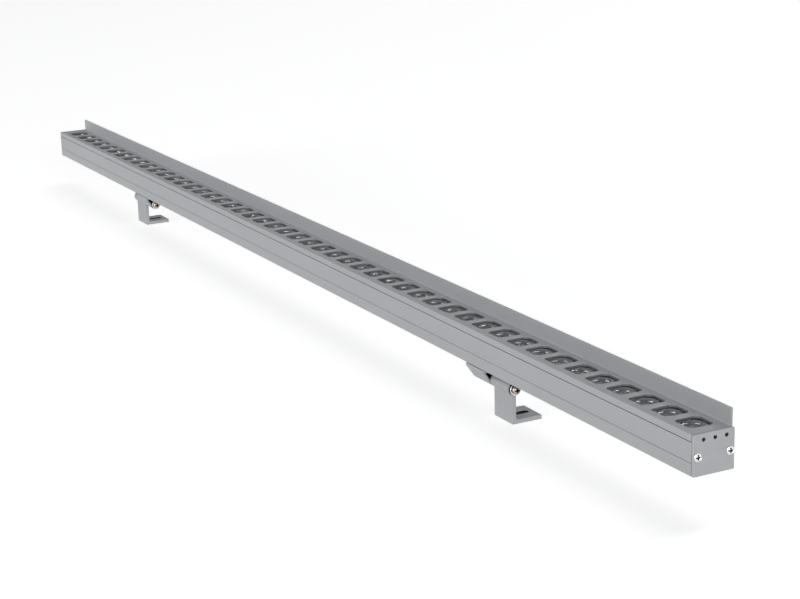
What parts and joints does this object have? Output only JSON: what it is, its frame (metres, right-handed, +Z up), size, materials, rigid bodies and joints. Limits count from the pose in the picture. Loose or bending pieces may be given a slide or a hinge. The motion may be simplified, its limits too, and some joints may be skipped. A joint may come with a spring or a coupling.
{
  "type": "linear wall washer light",
  "caption": "Slim outdoor wall washer: an aluminium bar with a row of clear lenses in square windows, an upright glare shield along its rear edge and two swivelling L-shaped brackets.",
  "frame": {"origin": "on the floor under the soles of the feet, at the middle of the overall length and of the overall depth", "axes": "+X along the bar, from the end with the power inlet to the other end; +Y from the front face to the side with the glare shield; +Z up, the way the lenses face"},
  "size_m": [1.0092, 0.0276, 0.0606],
  "materials": {
    "anodised": "fine satin anodised",
    "lens": "clear moulded acrylic",
    "board": "black solder mask on an aluminium core",
    "led": "white package with a yellow phosphor",
    "silicone": "matte",
    "rubber": "matte",
    "steel": "bright stainless steel",
    "black_steel": "blackened steel",
    "nickel": "nickel plated brass",
    "gold": "gilt contact pins",
    "connector": "moulded",
    "nylon": "moulded",
    "wire_red": "insulation",
    "wire_black": "insulation"
  },
  "bodies": {
    "bar": {"lower_housing": "anodised", "top_cover": "anodised", "lens_strip_1": "lens", "lens_strip_2": "lens", "lens_strip_3": "lens", "lens_strip_4": "lens", "led_board_1": "board", "led_board_2": "board", "led_board_3": "board", "led_board_4": "board", "leds_1": "led", "leds_2": "led", "leds_3": "led", "leds_4": "led", "thermal_strip": "silicone", "board_screws": "steel", "board_links": "connector", "cover_seal_front": "rubber", "cover_seal_rear": "rubber", "near_end_plug": "rubber", "far_end_plug": "rubber", "near_end_cap": "anodised", "far_end_cap": "anodised", "near_end_gasket": "rubber", "far_end_gasket": "rubber", "near_cap_screws": "steel", "far_cap_screws": "steel", "inlet_shell": "nickel", "inlet_insert": "connector", "inlet_pins": "gold", "inlet_seal_ring": "rubber", "supply_wire_plus": "wire_red", "supply_wire_minus": "wire_black"},
    "near_clamp": {"near_bracket_clamp": "anodised", "near_set_screws": "black_steel", "near_pivot_bolt": "steel", "near_pivot_washer": "steel", "near_spring_washer": "black_steel", "near_pivot_nut": "steel", "near_friction_washers": "nylon"},
    "near_foot": {"near_bracket_foot": "anodised"},
    "far_clamp": {"far_bracket_clamp": "anodised", "far_set_screws": "black_steel", "far_pivot_bolt": "steel", "far_pivot_washer": "steel", "far_spring_washer": "black_steel", "far_pivot_nut": "steel", "far_friction_washers": "nylon"},
    "far_foot": {"far_bracket_foot": "anodised"}
  },
  "joints": [
    {"name": "near_slide", "type": "slide", "parent": "bar", "child": "near_clamp", "axis": [1, 0, 0], "range_m": [-0.26, 0.17]},
    {"name": "near_swivel", "type": "hinge", "parent": "near_clamp", "child": "near_foot", "pos_m": [0.30865, -0.00505, 0.0218], "axis": [1, 0, 0], "range_deg": [-90, 90]},
    {"name": "far_slide", "type": "slide", "parent": "bar", "child": "far_clamp", "axis": [1, 0, 0], "range_m": [-0.17, 0.26]},
    {"name": "far_swivel", "type": "hinge", "parent": "far_clamp", "child": "far_foot", "pos_m": [-0.30085, -0.00505, 0.0218], "axis": [1, 0, 0], "range_deg": [-90, 90]}
  ]
}
